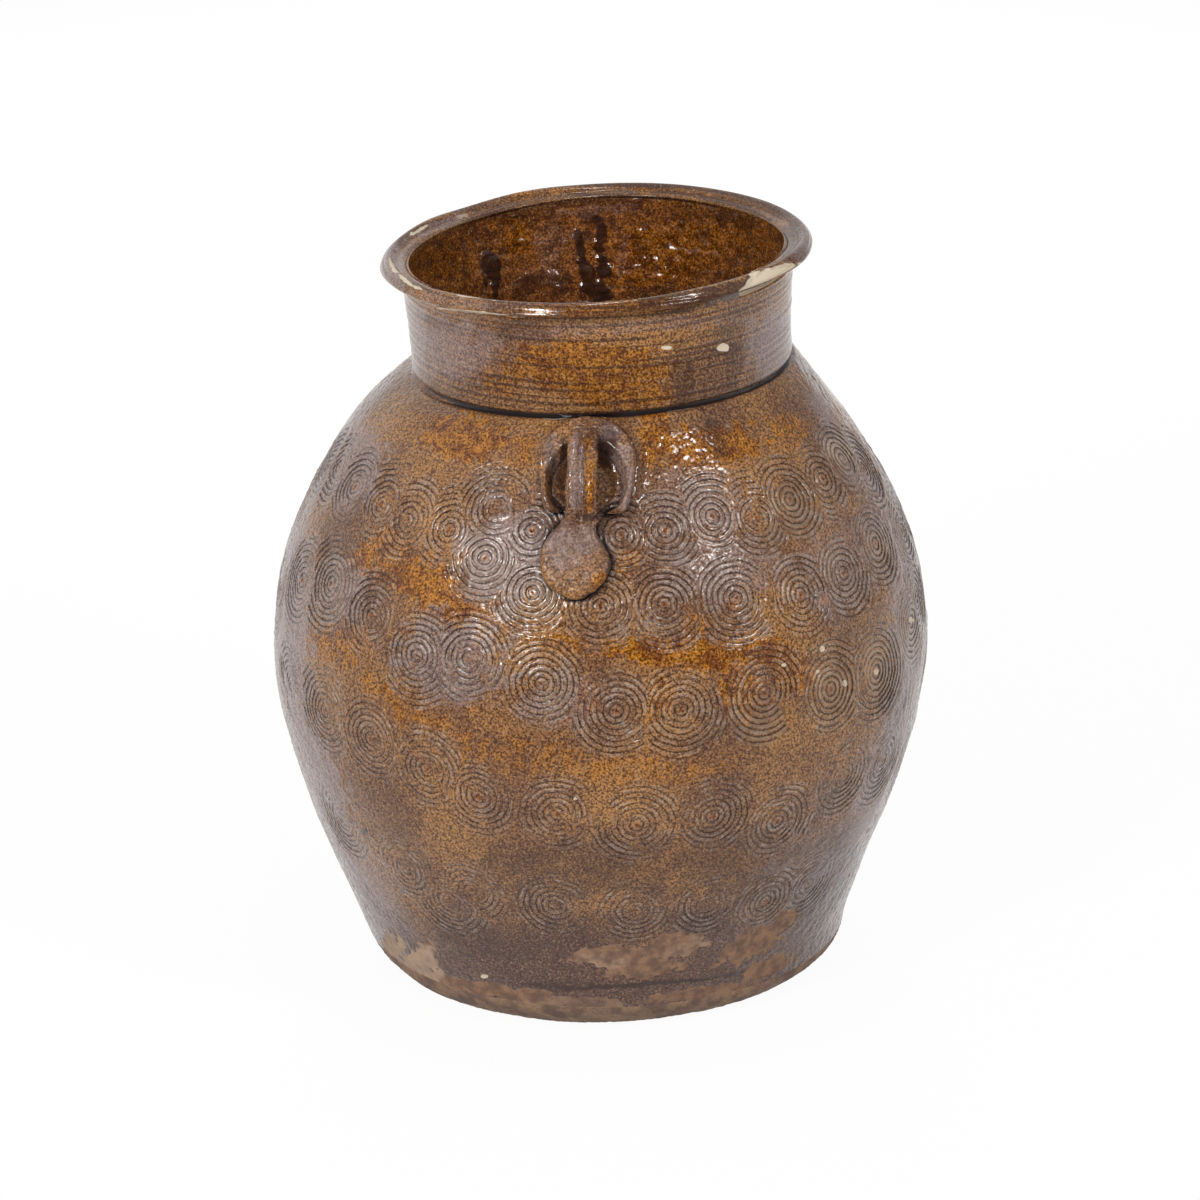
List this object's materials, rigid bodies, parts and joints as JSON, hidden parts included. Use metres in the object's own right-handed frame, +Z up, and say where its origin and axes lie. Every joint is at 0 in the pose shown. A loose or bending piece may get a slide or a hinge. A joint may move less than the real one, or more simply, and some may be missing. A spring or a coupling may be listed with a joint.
{
  "type": "martaban jar",
  "caption": "Glazed stoneware storage jar with a swelling body, a short leaning neck, a rolled lip and two strap lugs for a cord.",
  "frame": {"origin": "on the floor, under the middle of the belly", "axes": "+Z up; the front lug faces -Y, the back lug faces +Y, and the neck's top leans towards -X"},
  "size_m": [0.265, 0.265, 0.3032],
  "materials": {
    "brown_glaze": "glossy amber-brown glaze with dense dark speckle, worn to matt grey-brown on the ridges and the lower wall",
    "bare_clay": "matt unglazed stoneware, tan, slightly gritty"
  },
  "bodies": {
    "root": {"base_slab": "bare_clay", "foot_course": "brown_glaze", "lower_course": "brown_glaze", "belly_course": "brown_glaze", "upper_course": "brown_glaze", "shoulder_course": "brown_glaze", "neck_collar": "brown_glaze", "rim_lip": "brown_glaze", "front_lug_apron": "brown_glaze", "front_lug_pad": "brown_glaze", "front_lug_strap": "brown_glaze", "back_lug_apron": "brown_glaze", "back_lug_pad": "brown_glaze", "back_lug_strap": "brown_glaze"}
  },
  "joints": []
}
